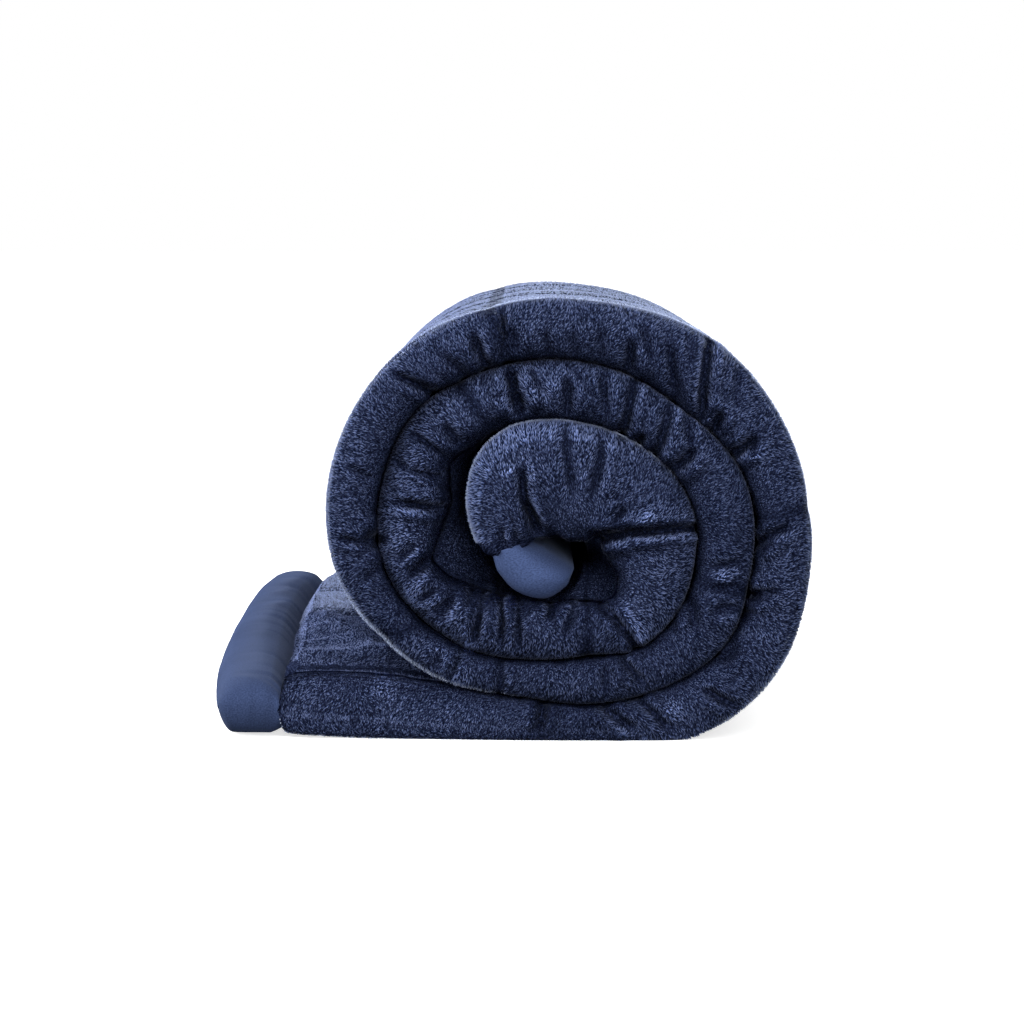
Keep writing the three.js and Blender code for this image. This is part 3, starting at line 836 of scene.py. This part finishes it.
def plush_material():
    """Ground of the pile: short strands with dark gaps between them, painted shade in the gaps."""
    nodes = Nodes("plush_ground")
    strands = nodes.noise(nodes.stretched_cloth(**STRANDS), 1, Roughness=0.5, Distortion=0.8)
    height = nodes.blend(strands, nodes.noise(nodes.place(), STRAND_GRAIN), GRAIN_SHARE)
    colour = nodes.ramp(height, GROUND_COLOURS)
    patches = nodes.ramp(nodes.noise(nodes.place(), GROUND_PATCH, PATCH_DETAIL), PLUSH_PATCHES)
    nodes.link(nodes.times(colour, patches), "Base Color")
    nodes.bump(height, strength=0.5, deep=0.003)
    nodes.set(Roughness=0.95)
    return nodes.material


def nap_material(name):
    """Locks of the pile: dark at the root as painted shade among the strands, and paler at the tip, each a
    little different.
    """
    nodes = Nodes(name)
    parts = nodes.add("ShaderNodeSeparateXYZ", {"Vector": nodes.cloth()})
    colour = nodes.ramp(parts.outputs["Y"], LOCK_COLOURS, NAPS[name].pale)
    tone = nodes.ramp(parts.outputs["X"], LOCK_TONES)
    patches = nodes.ramp(nodes.noise(nodes.place(), NAP_PATCH, PATCH_DETAIL), PLUSH_PATCHES)
    nodes.link(nodes.times(nodes.times(colour, tone), patches), "Base Color")
    nodes.set(Roughness=0.8, Sheen_Weight=NAPS[name].sheen, Sheen_Roughness=0.3, Sheen_Tint=SHEEN_TINT)
    return nodes.material


def binding_material(name, pale):
    """Smooth close weave with a low sheen, made paler by the painted light given."""
    nodes = Nodes(name)
    weave = nodes.noise(nodes.stretched_cloth(**THREADS), 1)
    colour = nodes.ramp(nodes.noise(nodes.place(), WEAVE_PATCH), WEAVE_COLOURS, pale)
    nodes.link(nodes.times(colour, nodes.ramp(weave, WEAVE_THREADS)), "Base Color")
    nodes.bump(weave, strength=0.3, deep=0.0004)
    nodes.set(Roughness=0.8, Sheen_Weight=0.05, Sheen_Roughness=0.4, Sheen_Tint=SHEEN_TINT)
    return nodes.material


def finish_piece(name, rows, grids, part, material, node):
    """Make a filled piece from its rows of points, in place of a solid."""
    points = np.concatenate(grids)
    piece = make_mesh(name, points, skin(rows, grids), cloth_map(rows, grids, part["length"]), material)
    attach(piece, "root")
    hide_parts(node)


def round_off(distance, size):
    """Share of the full size left at a distance from a round edge."""
    edge = np.clip(1 - distance / size, 0, EDGE_BLUNT)
    return np.sqrt(1 - edge ** 2)


def drawn_together(outer, inner, share):
    """Sections with both faces drawn to that share of their distance from the middle."""
    middle = (outer + inner) / 2
    return middle + (outer - middle) * share[:, None], middle + (inner - middle) * share[:, None]


def body_part():
    """Sections of the body from the inner seam to the outer one."""
    length = np.linspace(0, STRIP_LENGTH, SECTIONS)
    turn = np.interp(length, LENGTHS, TURNS)
    lift = np.where(turn > TAIL_FROM, smooth(TAIL, "row", "lift", (turn - TAIL_FROM) / TAIL_STEP), 0)
    bead = round_off(length, BEAD_ROUND)
    outer, inner = drawn_together(*ribs(turn), bead)
    back = fold_back(turn) + BEAD_ROUND * (1 - bead)
    return dict(outer=outer, inner=inner, back=back, length=length, turn=turn, lift=lift,
                hold=lift, reach=np.zeros_like(lift))


def binding_part(outer, inner, back, lift, reach, edge, wave, resting):
    """Sections of a binding from its seam, where it is drawn in, to its rounded free edge."""
    steps = np.linalg.norm(np.diff((outer + inner) / 2, axis=0), axis=1)
    length = np.concatenate([[0], np.cumsum(steps)])
    to_edge = length[-1] - length
    outer, inner = drawn_together(outer, inner, 1 - SEAM_SINK * np.clip(1 - length / SEAM_WIDE, 0, 1))
    outer, inner = drawn_together(outer, inner, round_off(to_edge, edge))
    corner = CORNER_ROUND * (1 - round_off(to_edge, CORNER_ROUND))
    return dict(outer=outer, inner=inner, back=back, length=length, turn=np.zeros_like(length), lift=lift,
                hold=lift - reach, reach=reach, corner=corner, wave=wave, resting=resting)


def outer_binding_part():
    """Binding of the end left out flat."""
    row = np.linspace(0, OUTER_BINDING["row"][-1], BINDING_SECTIONS)
    outer, inner = flat_ribs(OUTER_BINDING, row)
    gap = np.array([SEAM_GAP, 0])
    back = np.full(len(row), float(fold_back(OUTER_SEAM)))
    lift = smooth(OUTER_BINDING, "row", "lift", row)
    reach = smooth(OUTER_BINDING, "row", "reach", row)
    return binding_part(outer - gap, inner - gap, back, lift, reach, OUTER_EDGE_ROUND, OUTER_WAVE, True)


def inner_binding_part():
    """Binding of the end in the core, with its sections in the order of the body's."""
    turn = np.linspace(INNER_SEAM, CORE["turn"][0], BINDING_SECTIONS)
    outer, inner = ribs(turn)
    across = unit(outer[0] - inner[0])
    gap = SEAM_GAP * np.array([-across[1], across[0]])
    flat = np.zeros_like(turn)
    back = fold_back(turn)
    part = binding_part(outer + gap, inner + gap, back, flat, flat, INNER_EDGE_ROUND, INNER_WAVE, False)
    return every(part, -1)


def build_body():
    """The quilted body; its rows, points and sections are kept for the pile."""
    rows, part = body_rows(), body_part()
    grids = [body_row_points(row, every(part, 1 if row.fine else FAR_STRIDE)) for row in rows]
    press_creases(rows, grids, part)
    finish_piece("plush_cover", rows, grids, part, plush_material(), "plush_body")
    return rows, grids, part


def build_binding(name, part, material, node):
    rows = binding_rows()
    grids = [binding_row_points(row, part) for row in rows]
    finish_piece(name, rows, grids, part, material, node)


# Pile: each lock of the nap is a thin leaf with a raised spine, from its root over two sides to its tip
LOCK_FACES = np.array([(0, 1, 3), (0, 3, 2)])
# place of each corner from root to tip, which sets the painted shade of the dark root
LOCK_SHADES = np.array([0, 0.5, 0.5, 1])
LOCK_ROOT = 0.5
LOCK_MIDDLE = 0.45
LOCK_SIDES = 0.3
LOCK_LOWEST = 0.35
LOCK_VARY = (0.7, 1.2)
LOCK_SPREAD = 0.18
SWIRL = 20
SWIRL_TURN = 0.9
SURFACE_LIGHT = 0.75
TONE_RANGE = 2
FRONT_LOCK = dict(long=3.3, wide=0.8, rise=0.7)
EDGE_LOCK = dict(long=3.4, wide=0.8, rise=1.2)
OUTER_LOCK = dict(long=4.4, wide=1.2, rise=0.8)

# Pieces of pile: how many locks, their seed, their size and their finish
Pile = namedtuple("Pile", "locks seed lock nap")
PILES = dict(
    front_pile_a=Pile(72000, 21, FRONT_LOCK, "front_nap"),
    front_pile_b=Pile(72000, 22, FRONT_LOCK, "front_nap"),
    edge_pile=Pile(20000, 26, EDGE_LOCK, "edge_nap"),
    outer_pile=Pile(96000, 23, OUTER_LOCK, "outer_nap"),
    tail_pile=Pile(40000, 24, OUTER_LOCK, "tail_nap"),
    tail_pile_back=Pile(40000, 25, OUTER_LOCK, "back_nap"),
)

# Where the pile lies: how far it runs behind the fold, its outer rim with painted light, where it is combed
# down, and where the flat end turns to painted light
COVERED_PILE = 10
EDGE_FROM = 0.85
EDGE_TURNS = (100, 140, 655, 700)
EDGE_PAINTED_LIGHT = 0.5
EDGE_PAINTED_LIGHT_TURNS = (50, 120)
LEAN_DOWN = 0.7
PAINTED_LIGHT_FROM = (560, 720)


def crease_painted_shade(spots, turn):
    """Painted shade of the pile in the creases of the front, and painted highlights on their shoulders and
    the tufts.
    """
    depth = crease_depth(spots["spot"][:, [0, 2]], turn[spots["section"]], CREASE_LINE) / CREASE_FULL
    fade = np.exp(-np.maximum(spots["spot"][:, 1] - BODY_NOSE["limit"], 0) / CREASE_FADE)
    shade = 1 - fade * (CREASE_PAINTED_SHADE * np.clip(depth, 0, 1) + CREASE_PAINTED_LIGHT * np.clip(depth, -1, 0))
    for row in TUFT_HIGHLIGHTS:
        away = np.hypot(spots["spot"][:, 0] - row["x"], spots["spot"][:, 2] - row["z"])
        shade = shade * (1 + TUFT_PAINTED_LIGHT * fade * np.exp(-(away / row["size"]) ** 2))
    return shade[:, None]


def scatter(grid, weights, comb, shade, count, seed):
    """Even seeded spots over a grid: place, direction along it, the way it is combed, outward, shade."""
    rng = np.random.default_rng(seed)
    corners = grid[:-1, :-1], grid[1:, :-1], grid[1:, 1:], grid[:-1, 1:]
    area = np.linalg.norm(np.cross(corners[2] - corners[0], corners[3] - corners[1]), axis=-1) * weights
    total = np.cumsum(area.ravel())
    at = (np.arange(count) + rng.uniform(size=count)) / count * total[-1]
    cell = np.minimum(np.searchsorted(total, at), area.size - 1)
    a, b, c, d = [corner.reshape(-1, 3)[cell] for corner in corners]
    u, v = rng.uniform(size=(2, count, 1))
    spot = (a * (1 - u) + d * u) * (1 - v) + (b * (1 - u) + c * u) * v
    along = unit((d - a) * (1 - v) + (c - b) * v)
    across = unit((b - a) * (1 - u) + (c - d) * u)
    out = unit(np.cross(along, across))
    comb = np.broadcast_to(comb, area.shape).reshape(-1, 1)[cell]
    return dict(spot=spot, along=along, across=comb * unit(np.cross(out, along)), out=out,
                shade=shade[:-1, :-1].reshape(-1, 1)[cell], section=cell % area.shape[1])


def pile_piece(name, spots):
    """Locks of the nap on the given spots, combed across the cloth with soft swirls."""
    locks, seed, lock, nap = PILES[name]
    spot, along, out = spots["spot"], spots["along"], spots["out"]
    rng = np.random.default_rng(seed)
    swirl = LUMPS.at((spot[:, 0] + spot[:, 1]) / SWIRL, (spot[:, 2] - spot[:, 1]) / SWIRL)
    angle = (SWIRL_TURN * swirl + rng.normal(0, LOCK_SPREAD, locks))[:, None]
    lead = spots["across"] * np.cos(angle) + along * np.sin(angle)
    side = np.cross(out, lead)
    # painted shade and highlights scale the random tone of each lock, and with it its colour and height
    tone = spots["shade"] * rng.uniform(size=(locks, 1))
    long = lock["long"] * rng.uniform(*LOCK_VARY, (locks, 1))
    wide = lock["wide"] * rng.uniform(*LOCK_VARY, (locks, 1))
    rise = lock["rise"] * (LOCK_LOWEST + tone)
    middle = spot + lead * long * LOCK_MIDDLE + out * rise * LOCK_SIDES
    points = np.stack([spot - LOCK_ROOT * out, middle - side * wide / 2, middle + side * wide / 2,
                       spot + lead * long + out * rise], 1)
    points[..., 2] = np.maximum(points[..., 2], 0)
    own = np.stack([out, out - side, out + side, out + lead], 1)
    normals = unit(SURFACE_LIGHT * out[:, None] + (1 - SURFACE_LIGHT) * unit(own))
    faces = (LOCK_FACES[None] + len(LOCK_SHADES) * np.arange(locks)[:, None, None]).reshape(-1, 3).tolist()
    maps = np.stack(np.broadcast_arrays(tone / TONE_RANGE, LOCK_SHADES), -1) / MM
    material = bpy.data.materials.get(nap) or nap_material(nap)
    piece = make_mesh(name, points.reshape(-1, 3), faces, maps.reshape(-1, 2), material)
    piece.data.normals_split_custom_set_from_vertices(normals.reshape(-1, 3).tolist())
    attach(piece, "root")


def lay_pile(name, grid, weights, comb, shade, turn=None):
    """One piece of pile over a grid, with the painted shade and highlights of the creases where the turns of
    the front are given.
    """
    spots = scatter(grid, weights, comb, shade, PILES[name].locks, PILES[name].seed)
    if turn is not None:
        spots["shade"] = spots["shade"] * crease_painted_shade(spots, turn)
    pile_piece(name, spots)


def near_weights(rows, part):
    """Where the front has pile: all over the fold, a little beside it, and in the hollow at the core."""
    turn = part["turn"]
    past_bead = part["length"] > BEAD_ROUND
    weights = []
    for row in rows:
        shown = row.zone == "nose" or row.y * NEAR_TO < COVERED_PILE
        hollow = (1 - row.across) * (turn < REST_FROM) * free_share(turn, 0)
        weights.append(past_bead * np.where(shown, 1, hollow))
    weights = np.array(weights)
    return weights[:-1, :-1] * weights[1:, 1:]


def lay_front_pile(rows, grids, part):
    """Pile of the folded front, with painted light and a stronger sheen on its outer rim."""
    front = np.stack([grid for grid, row in zip(grids, rows) if row.fine])
    fine_rows = [row for row in rows if row.fine]
    turn = part["turn"]
    shade = front_painted_shade(fine_rows, part)
    weights = near_weights(fine_rows, part)
    low = np.array([row.across > LEAN_DOWN for row in fine_rows])[1:, None]
    comb = np.where(low & (turn[1:] > REST_FROM), -1, 1)
    rim = np.array([row.zone == "nose" and row.across > EDGE_FROM for row in fine_rows])[1:, None]
    rim = rim * (1 - between(EDGE_TURNS, turn[1:]))
    # painted highlight on the rim of the innermost turn
    bright = 1 + EDGE_PAINTED_LIGHT * (1 - step_between(*EDGE_PAINTED_LIGHT_TURNS, turn))
    for name in ("front_pile_a", "front_pile_b"):
        lay_pile(name, front, weights * (1 - rim), comb, shade, turn)
    lay_pile("edge_pile", front, weights * rim, comb, shade * bright, turn)


def face_grid(rows, grids, across):
    """Grid over one face behind the fold, and the distance of each of its rows from the fold."""
    grid, away = [], []
    for row, points in zip(rows, grids):
        if round(row.across) == across and row.zone in ("near", "face", "hem"):
            grid.append(points[::FAR_STRIDE] if row.fine else points)
            away.append(row.y * NEAR_TO if row.zone == "near" else row.y)
    return np.stack(grid), np.array(away)


def lay_face_pile(rows, grids, part):
    """Pile of the outside of the roll and of the top of the flat end, painted light and shade: the outside
    painted lighter, the flat end darker in front and lighter to the back.
    """
    turn, length = part["turn"][::FAR_STRIDE], part["length"][::FAR_STRIDE]
    outer, away = face_grid(rows, grids, 1)
    shown = free_share(turn, 1) * (turn < REST_FROM)
    lay_pile("outer_pile", outer, shown[1:], 1, sewn_painted_shade(length[None], away[:, None]))
    tail, away = face_grid(rows, grids, 0)
    shown = free_share(turn, 0) * (turn > REST_FROM)
    shade = sewn_painted_shade(length[None], away[:, None])
    back = step_between(*PAINTED_LIGHT_FROM, away)[1:, None]
    lay_pile("tail_pile", tail, (1 - back) * shown[1:], -1, shade)
    lay_pile("tail_pile_back", tail, back * shown[1:], -1, shade)


body = build_body()
outer_weave = binding_material("outer_weave", OUTER_PAINTED_LIGHT)
inner_weave = binding_material("inner_weave", INNER_PAINTED_LIGHT)
build_binding("outer_binding_cloth", outer_binding_part(), outer_weave, "outer_binding")
build_binding("inner_binding_cloth", inner_binding_part(), inner_weave, "inner_binding")
lay_front_pile(*body)
lay_face_pile(*body)

# Studio, in metres: camera at the photograph's viewpoint, pale floor, soft lights
LENS = 192.9
VIEW_DEPTH = 200
CAMERA_BACK = 4.218
CAMERA_HEIGHT = 0.4025
CAMERA_FROM_CORE = -0.0495
CAMERA_TILT = 3.07
CAMERA_PAN = 0.146
FLOOR_SIZE = 60
FLOOR_PALE = 0.7
FLOOR_GLOW = 0.7
Light = namedtuple("Light", "name place target size power")
LIGHTS = (
    Light("key_left", (-2, -1.8, 1.8), (0, -0.5, 0.15), 1.3, 76),
    Light("fill_front", (0.4, -3.4, 0.9), (0, -0.5, 0.15), 1.8, 95),
    Light("rim_behind", (-1, 1.9, 1.4), (0, 0.2, 0.15), 1.4, 30),
    Light("rim_left", (-2.2, 1.1, 0.5), (-0.15, -0.2, 0.05), 0.8, 110),
)

# Brightness of the room by the height of the direction: white along the horizon and overhead
ROOM = [(0, 0.25), (0.42, 0.25), (0.48, 1), (0.58, 1), (0.64, 0.4), (0.8, 0.4), (0.9, 1.4)]


def make_camera():
    data = bpy.data.cameras.new("camera")
    data.lens = LENS
    data.clip_end = VIEW_DEPTH
    camera = bpy.data.objects.new("camera", data)
    camera.location = (CORE_X * MM + CAMERA_FROM_CORE, CAD_BOX[0].y - CAMERA_BACK, CAMERA_HEIGHT)
    camera.rotation_euler = (math.radians(90 - CAMERA_TILT), 0, math.radians(CAMERA_PAN))
    bpy.context.collection.objects.link(camera)
    bpy.context.scene.camera = camera


def make_floor():
    """Pale floor that glows a little and throws no light back on the object."""
    side = FLOOR_SIZE
    corners = [(-side, -side, 0), (side, -side, 0), (side, side, 0), (-side, side, 0)]
    mesh = bpy.data.meshes.new("floor")
    mesh.from_pydata(corners, [], [range(len(corners))])
    nodes = Nodes("pale_floor")
    nodes.set(Base_Color=grey(FLOOR_PALE), Roughness=0.9)
    nodes.set(Emission_Color=grey(FLOOR_GLOW), Emission_Strength=1)
    mesh.materials.append(nodes.material)
    floor = bpy.data.objects.new("floor", mesh)
    floor.visible_diffuse = False
    bpy.context.collection.objects.link(floor)


def area_light(light):
    data = bpy.data.lights.new(light.name, "AREA")
    data.size = light.size
    data.energy = light.power
    lamp = bpy.data.objects.new(light.name, data)
    lamp.location = light.place
    lamp.rotation_euler = (Vector(light.target) - Vector(light.place)).to_track_quat("-Z", "Y").to_euler()
    bpy.context.collection.objects.link(lamp)


def make_world():
    world = bpy.data.worlds.new("white_room")
    world.use_nodes = True
    nodes, links = world.node_tree.nodes, world.node_tree.links
    height = nodes.new("ShaderNodeSeparateXYZ")
    links.new(nodes.new("ShaderNodeTexCoord").outputs["Generated"], height.inputs[0])
    share = nodes.new("ShaderNodeMapRange")
    share.inputs["From Min"].default_value = -1
    links.new(height.outputs["Z"], share.inputs["Value"])
    bright = nodes.new("ShaderNodeValToRGB")
    links.new(share.outputs["Result"], bright.inputs["Fac"])
    set_ramp(bright.color_ramp, [(at, grey(value)) for at, value in ROOM])
    links.new(bright.outputs["Color"], nodes["Background"].inputs["Color"])
    bpy.context.scene.world = world


make_camera()
make_floor()
make_world()
for light in LIGHTS:
    area_light(light)
bpy.context.scene.view_settings.view_transform = "Standard"
